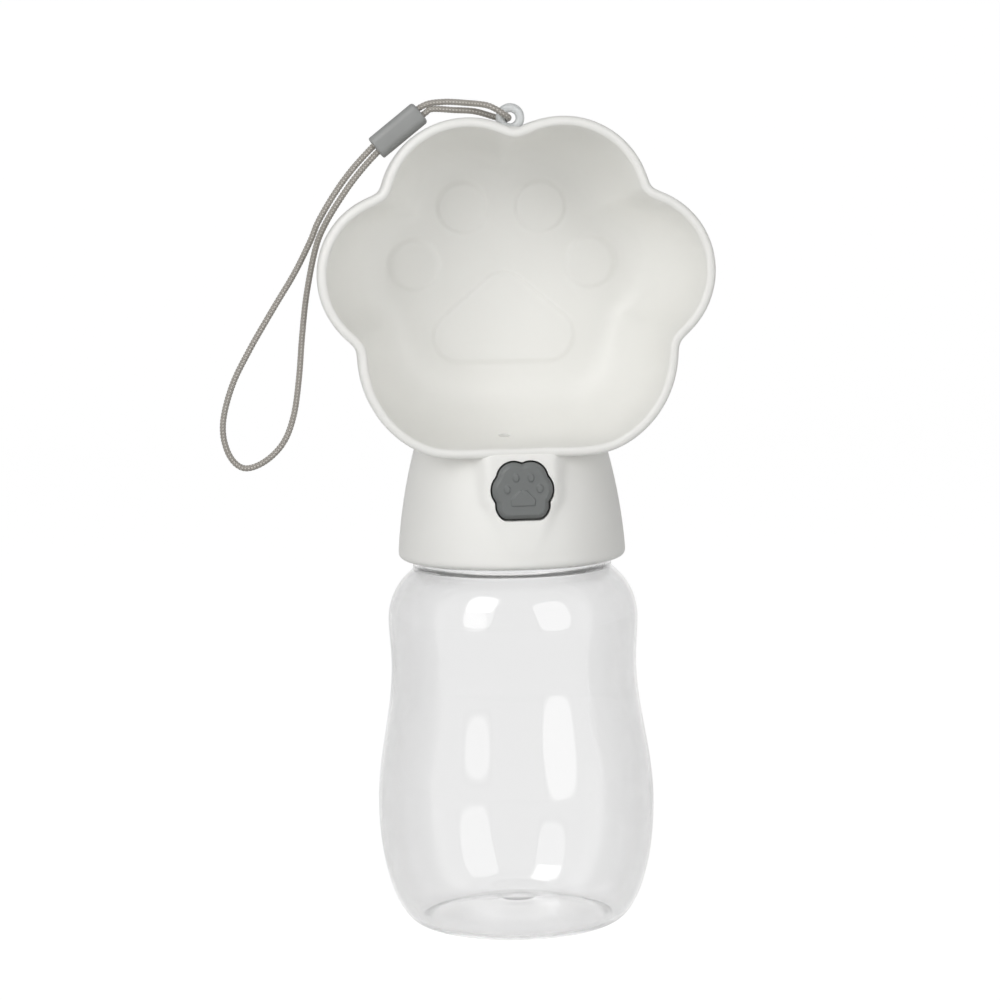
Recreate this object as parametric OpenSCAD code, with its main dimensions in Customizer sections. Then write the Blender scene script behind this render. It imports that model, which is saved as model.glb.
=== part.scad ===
// Dog travel water bottle. A clear blown bottle carries a screw-on head: a tapered collar and a
// paw-shaped drinking bowl in one moulding. The grey paw button pushes a wedge, the wedge pushes
// a valve stem down, and water runs from the bottle through a short spout into the bowl.
// Millimetres, +Z up, the bowl faces -Y, the origin lies under the middle of the bottle's base.

/* [Bottle] */
// radius of the ring that the bottle stands on
base_r = 25.5; // [24:0.1:27]
// largest radius, low on the belly
belly_r = 36.8; // [35.5:0.1:38]
// height of the widest place
belly_z = 32; // [28:0.5:36]
// radius of the waist
waist_r = 32.6; // [31.5:0.1:33]
// height of the waist
waist_z = 70; // [66:0.5:73]
// how far the bulge above the waist stands out past the neck
bulge_out = 8.35; // [8.2:0.05:9.2]
// height of the bulge above the waist
bulge_z = 81.5; // [80:0.5:83]
// radius of the round shoulder
shoulder_r = 16.5; // [15.5:0.1:17]
// wall of the blown bottle
bottle_wall = 1; // [0.7:0.1:1.3]
// how far the base is pushed up
push_up = 5; // [3:0.5:7]

/* [Neck and cap] */
// outer radius of the neck
neck_r = 24.8; // [24.4:0.1:25]
// wall of the neck
neck_wall = 2.5; // [2:0.1:2.8]
// height of the neck above its bead
neck_h = 9; // [8:0.5:9.5]
// play for the threads between the neck and the inner cap
thread_gap = 0.5; // [0.4:0.05:0.7]
// wall of the inner cap's skirt
skirt_wall = 1.1; // [0.9:0.1:1.2]
// thickness of the inner cap's plate
plate_t = 1.6; // [1.4:0.1:1.8]
// radius of the water port in the plate
port_r = 6.5; // [6:0.1:7]

/* [Collar] */
// how far the collar stands out past the neck at its widest
collar_out = 5.3; // [5.1:0.1:6.2]
// height of the collar from its lower edge to the bowl
collar_h = 27.7; // [27.5:0.1:28.5]
// wall of the collar
collar_wall = 2.1; // [1.8:0.1:2.4]
// height of the roof behind the bowl above the collar
roof_h = 20.8; // [19:0.2:22]

/* [Bowl] */
// depth of the bowl from its rim to its floor
bowl_depth = 38; // [36:0.5:39]
// width of the rim
rim_w = 2.5; // [2.2:0.1:3]
// thickness of the bowl's floor
floor_t = 2.3; // [2:0.1:2.6]
// distance of the rim's plane in front of the neck
rim_ahead = 2.2; // [1.8:0.1:2.6]
// distance of the bowl's middle above its flat foot
foot_d = 46.9; // [46:0.1:47.5]
// middle of a side lobe, sideways
side_x = 29.7; // [28.8:0.1:30.5]
// middle of a side lobe, above the bowl's middle
side_z = 0.6; // [0:0.1:1.2]
// radius of a side lobe
side_r = 21.5; // [21:0.1:21.8]
// middle of a top lobe, sideways
top_x = 12.1; // [11.6:0.1:12.6]
// middle of a top lobe, above the bowl's middle
top_z = 17.7; // [17.2:0.1:17.9]
// radius of a top lobe
top_r = 22.75; // [22.4:0.05:22.9]
// middle of a low lobe, sideways
low_x = 14.1; // [13:0.1:15]
// middle of a low lobe, below the bowl's middle
low_z = 20.1; // [19.5:0.1:21]
// radius of a low lobe
low_r = 27.15; // [26.5:0.05:27.6]
// height of the paw relief on the bowl's floor
relief_h = 0.6; // [0.3:0.1:1]

/* [Button and valve] */
// overall width of the paw-shaped button hole
button_w = 16.6; // [15.6:0.1:16.8]
// gap round the button
button_gap = 0.45; // [0.3:0.05:0.5]
// height of the button's middle above the valve chamber's flange
button_up = 8.2; // [7.9:0.1:8.2]
// distance from the button's middle up to the rod behind it
rod_up = 1.9; // [1.8:0.1:2.1]
// how far the button's face stands out past the rim
button_out = 2.2; // [2:0.1:2.4]
// distance from the rim's plane back to the button's back
button_in = 5.5; // [5.3:0.1:5.8]
// how far the button can be pushed in
travel = 3.2; // [2.6:0.1:3.2]
// rise of the wedge for each millimetre of button travel
wedge_k = 0.6; // [0.5:0.02:0.6]
// radius of the valve stem's rod
stem_r = 1.4; // [1.2:0.1:1.6]
// radius of the silicone valve disc
disc_r = 8.2; // [7.8:0.1:8.8]
// radius of the rod behind the button
rod_r = 2.2; // [2:0.1:2.3]
// room along the rod for the spring behind the button
spring_room = 6.5; // [6:0.1:7]
// distance from the valve stem's axis back to the wedge's end
wedge_back = 2.5; // [2.3:0.1:2.8]
// length of a cap screw's thread
screw_l = 11; // [9:0.5:11]
// radius of a cap screw's head
screw_head_r = 2.7; // [2.4:0.1:2.8]
// radius of the outlet spout on the valve chamber
spout_r = 2.6; // [2.4:0.1:2.65]
// height of the outlet spout above the valve chamber
spout_h = 4.3; // [4:0.1:4.5]
// play of a rod in the bore it runs in
run_fit = 0.05; // [0.03:0.01:0.09]

/* [Lanyard] */
// radius of the braided cord
cord_r = 0.8; // [0.6:0.05:0.85]
// length of the cord slider
slider_l = 16.5; // [14:0.5:17]
// width of the cord slider
slider_w = 6.4; // [6:0.1:6.5]
// thickness of the cord slider
slider_t = 4.6; // [4:0.1:5]
// how far the eyelet stands to the left of the bowl's middle
eye_left = 0.9; // [0.5:0.1:1]
// middle radius of the eyelet's ring
eye_r = 2.55; // [2.5:0.05:2.6]
// radius of the eyelet's bar
eye_bar = 1.15; // [1:0.05:1.15]

/* [Hidden] */
$fn = 72;

// the bottle's shoulder, bead and neck
bulge_r = neck_r + bulge_out;
arc_z = bulge_z + shoulder_r * sin(45);
arc_r = bulge_r - shoulder_r * (1 - cos(45));
bead_r = neck_r + 1.6;
slope_z = arc_z + arc_r - bead_r - 0.2;
bead_z = slope_z + 0.5;
bead_top = bead_z + 1.8;
neck_z = bead_top + neck_h;
bore_r = neck_r - neck_wall;

// the stack inside the collar, from the neck's top edge upwards
seal_gap = 0.3;
gasket_t = 0.9;
cap_z = neck_z + seal_gap + gasket_t + seal_gap;
plate_top = cap_z + plate_t;
skirt_r = neck_r + thread_gap;
cap_r = skirt_r + skirt_wall;
cap_fit = 0.3;
flange_z = plate_top + 0.6;
flange_t = 1.6;
screw_ring = bore_r - 4.8;
flange_r = screw_ring - 3.5;
chamber_r = flange_r - 3;
chamber_wall = 1.8;
spout_at = [-2.2, -chamber_r / 1.7];
screw_r = 1.25;
screw_at = [90, 210, 330];
vent_at = 30;
hub_r = 3.6;

// the collar and the bowl
collar_r = neck_r + collar_out;
collar_z = bead_top + 0.3;
lip_r = cap_r + cap_fit + 0.6;
collar_top = collar_z + collar_h;
chamber_top = collar_top;
foot_z = collar_top + 0.9;
bowl_z = foot_z + foot_d;
rim_y = -neck_r - rim_ahead;
floor_y = rim_y + bowl_depth;
lobes = concat([[0, -low_z, low_r]], [for (s = [-1, 1], c = [[side_x, side_z, side_r],
  [top_x, top_z, top_r], [low_x, -low_z, low_r]]) [s * c[0], c[1], c[2]]]);
rim_n = 96;
wall_n = 7;

// the button, the wedge and the stem
paw_k = button_w / 16.6;
paw_z = flange_z + button_up;
paw_blobs = [[3.16, 0.18, 5.14], [2.2, 3.1, 4.65], [2.9, -3.8, 4.3]];
paw_foot = 7.75 * paw_k;
face_y = rim_y - button_out;
bevel_h = 1.2;
back_y = rim_y + button_in;
rod_z = paw_z + rod_up;
gland_y = back_y + spring_room;
gland_r = rod_r + 2;
wedge_y = chamber_wall + 0.7 - chamber_r;
wedge_l = wedge_back - wedge_y;
wedge_z = rod_z - 0.8;
head_r = 3.4;
head_z = rod_z - 3.8;
stem_drop = travel * wedge_k;
disc_t = 1.4;
clip_t = 1;

// the eyelet and the slider
eye_y = rim_y + 5;
eye_z = bowl_z + 40.2;
eye_fit = 0.05;
slide_mid = [-28.6, -19, 211.1];
slide_turn = 51.8;
strand = 1.9;

// hand-picked points along the lanyard cord, from the slider through the eyelet and the loop
cord_at = [
  [-29.2, -19, 211.8], [-23.1, -19.2, 216.7], [-17.8, -19.8, 218.1], [-11.5, -21, 217.5],
  [-7.2, -23.1, 217], [-4.7, -24.05, 215.6], [-2.85, -23.95, 214.2], [-1.5, -22.9, 213.4],
  [-1.4, -21.4, 213], [-2.65, -20.15, 212.8], [-5, -19.8, 213.4], [-9.8, -19.7, 214.75],
  [-15, -19.5, 215.2], [-20.4, -19.25, 215.75], [-22.3, -19.1, 214.8], [-28, -19, 210.3],
  [-34.1, -18.95, 205.6], [-39.7, -17.4, 199.6], [-44.2, -17, 193.6], [-48.5, -17, 186.8],
  [-51.1, -17, 180.6], [-53.6, -17, 169.2], [-55, -17, 158.6], [-56.1, -17, 147.6],
  [-57.7, -17, 138], [-60.6, -17, 131], [-65.6, -17, 126.3], [-70.9, -17, 124.9],
  [-74.6, -17, 128.6], [-75.9, -17, 136], [-73.4, -17, 145.8], [-68.6, -17, 155.2],
  [-62.4, -17, 165.4], [-56.6, -17, 174.6], [-52.3, -17, 182.8], [-50.2, -17, 187.6],
  [-45.9, -17, 194.6], [-41.2, -17.4, 200.8], [-35.3, -18.9, 207], [-30.6, -19, 210.7]];

function ease(t) = (1 - cos(180 * t)) / 2;
function sum(v) = v * [for (x = v) 1];

// outline of the bowl: how far it reaches from its middle in each direction
function hit(a, c) = let (b = c[0] * cos(a) + c[1] * sin(a),
  s = b * b - c[0] * c[0] - c[1] * c[1] + c[2] * c[2]) s > 0 ? max(b + sqrt(s), 0.1) : 0.1;
function lobed(a) = pow(sum([for (c = lobes) pow(hit(a, c), 40)]), 1 / 40);
function reach(a) = pow(pow(lobed(a), -60) + pow(foot_d / max(-sin(a), 0.05), -60), -1 / 60);
function at(a) = [cos(a), sin(a)];
rim_at = [for (i = [0 : rim_n - 1]) let (a = 360 * i / rim_n) reach(a) * at(a)];
function along(i) = rim_at[(i + 1) % rim_n] - rim_at[(i + rim_n - 1) % rim_n];
rim_out = [for (i = [0 : rim_n - 1]) let (t = along(i)) [t[1], -t[0]] / norm(t)];
floor_at = [for (i = [0 : rim_n - 1]) let (a = 360 * i / rim_n) (12 + 0.32 * reach(a)) * at(a)];

// a ring of the bowl: inset from the rim, pulled in to the floor by the share f
function ring(y, inset, grow, f) = [for (i = [0 : rim_n - 1])
  let (p = rim_at[i] - inset * rim_out[i], q = floor_at[i] * (1 + grow / norm(floor_at[i])),
    w = q + (p - q) * f) [w[0], y, bowl_z + w[1]]];
function wall_rings(inset, grow, depth) = [for (k = [1 : wall_n]) let (t = 90 * k / wall_n)
  ring(rim_y + depth * pow(sin(t), 0.8), inset, grow, pow(max(cos(t), 0), 0.8))];

// the bottle's outside, and the collar's outside and roof, as points of their profiles
function flank(r0, r1, z0, z1, n) = [for (i = [1 : n])
  [r0 + (r1 - r0) * ease(i / n), z0 + (z1 - z0) * i / n]];
function heel(r0, r1, z0, z1, n) = [for (i = [0 : n]) let (a = 90 * i / n)
  [r0 + (r1 - r0) * sin(a), z1 - (z1 - z0) * cos(a)]];
function shoulder(d) = [for (a = [9 : 9 : 45])
  [bulge_r - shoulder_r + (shoulder_r - d) * cos(a), bulge_z + (shoulder_r - d) * sin(a)]];
function collar_at(z) = collar_r - 0.069 * z - 0.0037 * z * z;
function bend(a, b, c, d, t) = a * pow(1 - t, 3) + 3 * b * t * pow(1 - t, 2)
  + 3 * c * t * t * (1 - t) + d * pow(t, 3);
function roof(r, z, h) = [for (i = [1 : 8])
  bend([r, z], [r - 1.3, z + 0.24 * h], [r - 5.9, z + 0.9 * h], [0, z + h], i / 8)];

// a solid through rings of equal length, the first ring in front
module loft(rings) {
  n = len(rings[0]);
  last = len(rings) - 1;
  points = [for (r = rings, p = r) p];
  sides = [for (k = [0 : last - 1], i = [0 : n - 1], h = [0, 1])
    let (j = (i + 1) % n)
    h == 0 ? [k * n + i, k * n + j, (k + 1) * n + j] : [k * n + i, (k + 1) * n + j, (k + 1) * n + i]];
  front = [[for (i = [0 : n - 1]) n - 1 - i]];
  back = [[for (i = [0 : n - 1]) last * n + i]];
  polyhedron(points = points, faces = concat(front, sides, back), convexity = 10);
}

// a cylinder along Y, from y0 to y1
module rod_y(x, z, r, y0, y1) {
  translate([x, y0, z])
    rotate([-90, 0, 0])
      cylinder(r = r, h = y1 - y0);
}

// a helical spring that stands on z = 0
module coil(r, wire, length, turns) {
  rings = [for (i = [0 : 8 * turns]) let (a = 45 * i, z = wire + (length - 2 * wire) * i / (8 * turns))
    [for (b = [0 : 60 : 300]) [(r + wire * cos(b)) * cos(a), (r + wire * cos(b)) * sin(a), z + wire * sin(b)]]];
  loft(rings);
}

module bottle() {
  outer = concat(heel(base_r, belly_r, 0, belly_z, 9), flank(belly_r, waist_r, belly_z, waist_z, 9),
    flank(waist_r, bulge_r, waist_z, bulge_z, 4), shoulder(0),
    [[bead_r + 0.2, slope_z], [bead_r - 0.5, bead_z], [bead_r - 0.1, bead_z + 0.3],
      [bead_r, bead_z + 0.6], [bead_r, bead_top - 0.3], [bead_r - 0.3, bead_top],
      [neck_r, bead_top], [neck_r, neck_z - 0.4], [neck_r - 0.4, neck_z]]);
  w = bottle_wall;
  inner = concat(heel(base_r, belly_r - w, w, belly_z, 9),
    flank(belly_r - w, waist_r - w, belly_z, waist_z, 9),
    flank(waist_r - w, bulge_r - w, waist_z, bulge_z, 4), shoulder(w),
    [[bead_r - 1.5 * w, slope_z + 0.2 * w], [bore_r, bead_top + 1.5], [bore_r, neck_z - 0.3],
      [bore_r + 0.3, neck_z]]);
  under = [[base_r - 1, 0], [base_r - 2.2, 0.7], [18, 0.5 * push_up], [10, 0.85 * push_up],
    [4.8, push_up - 0.3], [4.5, push_up + 0.2], [0, push_up + 0.2]];
  top = [[0, push_up + 0.2 + w], [4.5, push_up + 0.2 + w], [4.8, push_up - 0.3 + w],
    [10, 0.85 * push_up + w], [18, 0.5 * push_up + w], [base_r - 1.4, w]];
  turned = [for (i = [len(inner) - 1 : -1 : 0]) inner[i]];
  floor_up = [for (i = [len(top) - 1 : -1 : 0]) top[i]];
  down = [for (i = [len(under) - 1 : -1 : 0]) under[i]];
  color([0.86, 0.88, 0.88])
    rotate_extrude()
      polygon(concat(down, outer, turned, floor_up));
}

module bottle_gasket() {
  color([0.85, 0.85, 0.82])
    translate([0, 0, neck_z + seal_gap])
      difference() {
        cylinder(r = neck_r + 0.4, h = gasket_t);
        translate([0, 0, -1])
          cylinder(r = bore_r + 0.1, h = gasket_t + 2);
      }
}

// one thing set at each screw place
module at_screws() {
  for (a = screw_at) {
    rotate([0, 0, a])
      translate([screw_ring, 0, 0])
        children();
  }
}

module inner_cap() {
  color([0.93, 0.93, 0.92])
    difference() {
      translate([0, 0, bead_top + 1])
        cylinder(r = cap_r, h = plate_top - bead_top - 1);
      translate([0, 0, bead_top])
        cylinder(r = skirt_r, h = cap_z - bead_top);
      difference() {
        translate([0, 0, cap_z - 1])
          cylinder(r = port_r, h = plate_t + 2);
        translate([0, 0, cap_z - 2])
          cylinder(r = hub_r, h = plate_t + 4);
        for (a = [30, 150, 270]) {
          rotate([0, 0, a])
            translate([0, -0.8, cap_z - 2])
              cube([port_r + 1, 1.6, plate_t + 4]);
        }
      }
      translate([0, 0, cap_z - 1])
        cylinder(r = stem_r + run_fit, h = plate_t + 2);
      at_screws()
        translate([0, 0, cap_z - 1])
          cylinder(r = screw_r + 0.25, h = plate_t + 2);
      rotate([0, 0, vent_at])
        translate([screw_ring, 0, cap_z - 1])
          cylinder(r = 1.6, h = plate_t + 2);
    }
}

module cap_screws() {
  color([0.75, 0.76, 0.78])
    at_screws()
      difference() {
        union() {
          translate([0, 0, cap_z - 1.6])
            cylinder(r = screw_head_r, h = 1.6);
          translate([0, 0, cap_z - 0.5])
            cylinder(r = screw_r, h = screw_l);
        }
        for (a = [0, 90]) {
          rotate([0, 0, a])
            translate([-1.6, -0.3, cap_z - 2])
              cube([3.2, 0.6, 1.2]);
        }
      }
}

module chamber_gasket() {
  color([0.85, 0.85, 0.82])
    translate([0, 0, plate_top])
      difference() {
        cylinder(r = flange_r, h = flange_z - plate_top);
        translate([0, 0, -1])
          cylinder(r = chamber_r - 1.5, h = flange_z - plate_top + 2);
      }
}

module valve_chamber() {
  inner_r = chamber_r - chamber_wall;
  color([0.9, 0.9, 0.89])
    difference() {
      union() {
        translate([0, 0, flange_z])
          cylinder(r = flange_r, h = flange_t);
        at_screws()
          translate([0, 0, flange_z])
            cylinder(r = 3.3, h = flange_t);
        for (a = screw_at) {
          rotate([0, 0, a])
            translate([0, -3.3, flange_z])
              cube([screw_ring, 6.6, flange_t]);
        }
        translate([0, 0, flange_z])
          cylinder(r = chamber_r, h = chamber_top - flange_z);
        translate([spout_at[0], spout_at[1], chamber_top - 1])
          cylinder(r = spout_r, h = spout_h + 1);
        rod_y(0, rod_z, gland_r, gland_y, -chamber_r + 1);
      }
      translate([0, 0, flange_z - 1])
        cylinder(r = inner_r, h = chamber_top - flange_z - 0.6);
      translate([spout_at[0], spout_at[1], chamber_top - 3])
        cylinder(r = 1.5, h = 10);
      rod_y(0, rod_z, rod_r + run_fit, gland_y - 1, -chamber_r + 3);
      rod_y(0, rod_z, rod_r + 1.1, gland_y - 1, gland_y + 2);
      at_screws()
        translate([0, 0, flange_z - 1])
          cylinder(r = screw_r + 0.25, h = flange_t + 2);
    }
}

module rod_seal() {
  color([0.2, 0.2, 0.2])
    translate([0, gland_y + 1, rod_z])
      rotate([90, 0, 0])
        rotate_extrude()
          translate([rod_r + run_fit + 0.5, 0])
            circle(r = 0.5);
}

module outlet_seal() {
  color([0.85, 0.85, 0.82])
    translate([spout_at[0], spout_at[1], chamber_top + 1])
      difference() {
        cylinder(r = spout_r + 1.35, h = spout_h - 0.9);
        translate([0, 0, -1])
          cylinder(r = spout_r + 0.1, h = spout_h + 1);
      }
}

module vent_plug() {
  color([0.85, 0.85, 0.82])
    rotate([0, 0, vent_at])
      translate([screw_ring, 0, 0])
        difference() {
          union() {
            translate([0, 0, cap_z - 0.8])
              cylinder(r = 3, h = 0.8);
            translate([0, 0, cap_z - 0.1])
              cylinder(r = 1.55, h = plate_t + 0.2);
            translate([0, 0, plate_top])
              cylinder(r1 = 2.1, r2 = 1.3, h = 1.6);
          }
          translate([0, 0, cap_z - 1])
            cylinder(r = 0.5, h = plate_t + 1.8);
        }
}

module valve_stem() {
  rod_low = cap_z - 3.5;
  color([0.93, 0.93, 0.92]) {
    translate([0, 0, rod_low])
      cylinder(r = stem_r, h = head_z - rod_low + 0.5);
    translate([0, 0, rod_low])
      cylinder(r1 = stem_r, r2 = stem_r + 0.6, h = 0.8);
    intersection() {
      translate([0, 0, head_z])
        cylinder(r = head_r, h = 10);
      rotate([90, 0, -90])
        translate([0, 0, -head_r - 1])
          linear_extrude(2 * head_r + 2)
            polygon([[-5, head_z - 1], [5, head_z - 1],
              [5, wedge_z - 0.3 - 5 * wedge_k], [-5, wedge_z - 0.3 + 5 * wedge_k]]);
    }
  }
}

module valve_disc() {
  color([0.85, 0.85, 0.82])
    translate([0, 0, cap_z - 0.3 - disc_t])
      difference() {
        cylinder(r = disc_r, h = disc_t);
        translate([0, 0, -1])
          cylinder(r = stem_r + 0.02, h = disc_t + 2);
      }
}

module stem_clip() {
  color([0.93, 0.93, 0.92])
    translate([0, 0, cap_z - 0.3 - disc_t - clip_t])
      difference() {
        cylinder(r = 5.5, h = clip_t);
        translate([0, 0, -1])
          cylinder(r = stem_r + 0.05, h = clip_t + 2);
      }
}

module valve_spring() {
  color([0.75, 0.76, 0.78])
    translate([0, 0, plate_top + 0.05])
      coil(2.6, 0.3, head_z - plate_top - 0.1, 5);
}

module button_slide() {
  top_z = rod_z + 2.6;
  low = wedge_z + wedge_k * wedge_y;
  high = wedge_z + wedge_k * (wedge_y + wedge_l);
  color([0.93, 0.93, 0.92]) {
    rod_y(0, rod_z, rod_r, back_y - 3, wedge_y + 1);
    rotate([90, 0, -90])
      translate([0, 0, -2.5])
        linear_extrude(5)
          polygon([[-wedge_y, low], [-wedge_y, top_z], [-wedge_y - wedge_l, top_z],
            [-wedge_y - wedge_l, high]]);
  }
}

module button_spring() {
  color([0.75, 0.76, 0.78])
    translate([0, gland_y - 0.05, rod_z])
      rotate([90, 0, 0])
        coil(rod_r + 1, 0.3, gland_y - back_y - 0.1, 5);
}

// the paw of the button: rounds that taper over the length h, with a flat foot
module paw_block(y, h, grow, taper) {
  translate([0, y, paw_z])
    rotate([90, 0, 0])
      intersection() {
        union() {
          for (s = [-1, 1], c = paw_blobs) {
            translate([s * c[0] * paw_k, c[1] * paw_k, 0])
              cylinder(r1 = c[2] * paw_k + grow, r2 = c[2] * paw_k + grow - taper, h = h);
          }
          translate([-2.9 * paw_k, -10, 0])
            cube([5.8 * paw_k, 10 + 2 * paw_k, h]);
        }
        rotate([90, 0, 90])
          translate([0, 0, -20])
            linear_extrude(40)
              polygon([[-paw_foot - grow, 0], [20, 0], [20, h], [-paw_foot - grow + taper, h]]);
      }
}

module button() {
  toes = [[-4.1, 0.2], [-2, 3.1], [2.1, 3.2], [4.3, 0.4]];
  color([0.46, 0.48, 0.47])
    difference() {
      union() {
        paw_block(back_y, back_y - face_y - bevel_h, -button_gap, 0);
        paw_block(face_y + bevel_h, bevel_h, -button_gap, 1.1);
        translate([0, face_y + 0.2, paw_z])
          rotate([90, 0, 0])
            linear_extrude(0.5) {
              for (t = toes) {
                translate([t[0] * paw_k, t[1] * paw_k])
                  square([1.8, 0.4], center = true);
                for (s = [-0.2, 0.2]) {
                  translate([t[0] * paw_k, t[1] * paw_k + s])
                    circle(r = 0.9);
                }
              }
              polygon([[-0.9, -0.5], [0.9, -0.5], [1.7, -1.2], [2.8, -2.6], [3, -3.5],
                [2.7, -4.3], [2.2, -4.6], [-2.2, -4.6], [-2.7, -4.3], [-3, -3.5],
                [-2.8, -2.6], [-1.7, -1.2]] * paw_k);
            }
      }
      rod_y(0, rod_z, rod_r + 0.02, back_y - 3.05, back_y + 1);
    }
}

// outside of the bowl, rounded at the rim
module bowl_outer() {
  loft(concat([ring(rim_y, 1.1, 0, 1), ring(rim_y + 0.3, 0.3, 0, 1), ring(rim_y + 1.1, 0, 0, 1)],
    wall_rings(0, 2, bowl_depth + floor_t)));
}

// room inside the bowl, flared at the rim
module bowl_inner() {
  loft(concat([ring(rim_y - 1, rim_w - 0.8, 0, 1), ring(rim_y, rim_w - 0.8, 0, 1),
    ring(rim_y + 0.25, rim_w - 0.22, 0, 1), ring(rim_y + 0.8, rim_w, 0, 1)],
    wall_rings(rim_w, 0, bowl_depth)));
}

// outside of the collar and of the roof behind the bowl
module collar_outer() {
  side = [for (i = [0 : 5]) let (z = 1.1 + (collar_h - 3.2) * i / 5) [collar_at(z), collar_z + 2.1 + z]];
  rotate_extrude()
    polygon(concat([[0, collar_z], [lip_r, collar_z], [collar_r - 1.35, collar_z + 0.25],
      [collar_r - 0.45, collar_z + 0.8], [collar_r - 0.05, collar_z + 1.7]], side,
      roof(collar_at(collar_h - 2.1), collar_top, roof_h)));
}

// room inside the collar and the roof
module collar_inner() {
  step_z = plate_top + 1.5;
  low = step_z - collar_z - 2.1;
  r = cap_r + cap_fit;
  side = [for (i = [0 : 4]) let (z = low + (collar_top - step_z) * i / 4)
    [collar_at(z) - collar_wall, collar_z + 2.1 + z]];
  rotate_extrude()
    polygon(concat([[0, collar_z - 1], [r, collar_z - 1], [r, step_z]], side,
      roof(collar_at(collar_h - 2.1) - collar_wall, collar_top, roof_h - 2)));
}

// a round of the floor relief, across the bowl
module spot(x, z, r) {
  translate([x, floor_y + 1, bowl_z + z])
    rotate([90, 0, 0])
      cylinder(r = r, h = 1, $fn = 32);
  translate([x, floor_y, bowl_z + z])
    rotate([90, 0, 0])
      cylinder(r = r - 0.8, h = relief_h, $fn = 32);
}

module paw_relief() {
  for (s = [-1, 1]) {
    hull()
      spot(s * 23.5, 2, 6.6);
    hull()
      spot(s * 10.3, 17, 6.6);
    hull() {
      spot(0, -7, 6.5);
      spot(s * 11.6, -17.2, 7.5);
      spot(0, -17.2, 7.5);
    }
  }
}

module bowl_housing() {
  color([0.93, 0.93, 0.92])
    difference() {
      union() {
        difference() {
          union() {
            bowl_outer();
            collar_outer();
            // flat pad round the button
            hull()
              for (s = [-1, 1]) {
                translate([s * 6.5, rim_y + 2.8, foot_z + 0.7])
                  sphere(r = 3, $fn = 24);
                translate([s * 12.4, -18.7, foot_z + 0.7])
                  sphere(r = 3, $fn = 24);
                translate([s * 5.5, -collar_at(2) + 3.1, collar_z + 4.5])
                  sphere(r = 3, $fn = 24);
                translate([s * 9, -25, collar_z + 4.5])
                  sphere(r = 3, $fn = 24);
              }
            // block in the top notch that holds the eyelet
            hull() {
              translate([-eye_left - 5, eye_y - 3, eye_z - 6])
                cube([10, 6, 3]);
              translate([-eye_left - 4.6, eye_y - 2.6, eye_z - 3])
                cube([9.2, 5.2, 0.9]);
            }
          }
          difference() {
            collar_inner();
            bowl_outer();
          }
        }
        intersection() {
          union() {
            at_screws()
              translate([0, 0, flange_z + flange_t])
                cylinder(r = 3, h = 26, $fn = 24);
            translate([spout_at[0], spout_at[1], chamber_top + 0.5])
              cylinder(r = spout_r + 3, h = 8, $fn = 32);
            // guide sleeve behind the button's hole
            difference() {
              paw_block(rim_y + 4.5, 4, 1.6, 0);
              translate([-20, -40, paw_z - paw_foot - 10])
                cube([40, 40, 9.7]);
            }
          }
          union() {
            collar_outer();
            bowl_outer();
          }
        }
      }
      difference() {
        bowl_inner();
        paw_relief();
      }
      paw_block(rim_y + 8, 14, 0, 0);
      at_screws()
        translate([0, 0, flange_z])
          cylinder(r = screw_r + 0.1, h = 9, $fn = 24);
      translate([spout_at[0], spout_at[1], collar_top - 1])
        cylinder(r = spout_r + 1.5, h = spout_h + 1.3, $fn = 32);
      translate([spout_at[0], spout_at[1], collar_top])
        cylinder(r = 1.5, h = 14, $fn = 24);
      translate([-eye_left, eye_y - eye_bar - 0.1, eye_z])
        rotate([-90, 0, 0])
          cylinder(r = eye_r + eye_bar + eye_fit, h = 2 * eye_bar + 0.2, $fn = 48);
    }
}

module eyelet() {
  color([0.9, 0.92, 0.92])
    translate([-eye_left, eye_y, eye_z])
      rotate([90, 0, 0])
        rotate_extrude()
          translate([eye_r, 0])
            circle(r = eye_bar);
}

// the cord follows its points on a smooth curve, two steps to each span
function pass(a, b, c, d, t) = 0.5 * (2 * b + (c - a) * t + (2 * a - 5 * b + 4 * c - d) * t * t
  + (3 * b - a - 3 * c + d) * t * t * t);

module lanyard_cord() {
  n = len(cord_at);
  path = [for (k = [0 : 2 * n - 2]) let (i = min(floor(k / 2), n - 2), t = k / 2 - i)
    pass(cord_at[max(i - 1, 0)], cord_at[i], cord_at[i + 1], cord_at[min(i + 2, n - 1)], t)];
  m = len(path);
  rings = [for (k = [0 : m - 1])
    let (d = path[min(k + 1, m - 1)] - path[max(k - 1, 0)], u = d / norm(d),
      v = cross([0, 1, 0], u), side = v / norm(v), up = cross(u, side))
    [for (b = [0 : 45 : 315]) path[k] + cord_r * (cos(b) * side + sin(b) * up)]];
  color([0.62, 0.6, 0.56])
    loft(rings);
}

// a flat-sided oval prism along X
module oval(w, t, h) {
  translate([-h / 2, 0, 0])
    rotate([0, 90, 0]) {
      for (s = [-1, 1]) {
        translate([s * (w - t) / 2, 0, 0])
          cylinder(r = t / 2, h = h);
      }
      translate([-(w - t) / 2, -t / 2, 0])
        cube([w - t, t, h]);
    }
}

module lanyard_slider() {
  color([0.55, 0.56, 0.56])
    translate(slide_mid)
      rotate([0, slide_turn - 90, 0])
        difference() {
          oval(slider_w, slider_t, slider_l);
          oval(4.2, 2.2, slider_l + 2);
        }
}

bottle();
bottle_gasket();
inner_cap();
cap_screws();
chamber_gasket();
valve_chamber();
valve_stem();
valve_disc();
stem_clip();
valve_spring();
button_slide();
rod_seal();
button_spring();
outlet_seal();
vent_plug();
bowl_housing();
button();
eyelet();
lanyard_cord();
lanyard_slider();
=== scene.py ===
"""Dog travel water bottle: a clear blown bottle and a screw-on head with a paw-shaped bowl."""

import math

import bmesh
import bpy
import numpy as np
from mathutils import Matrix, Vector


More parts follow.
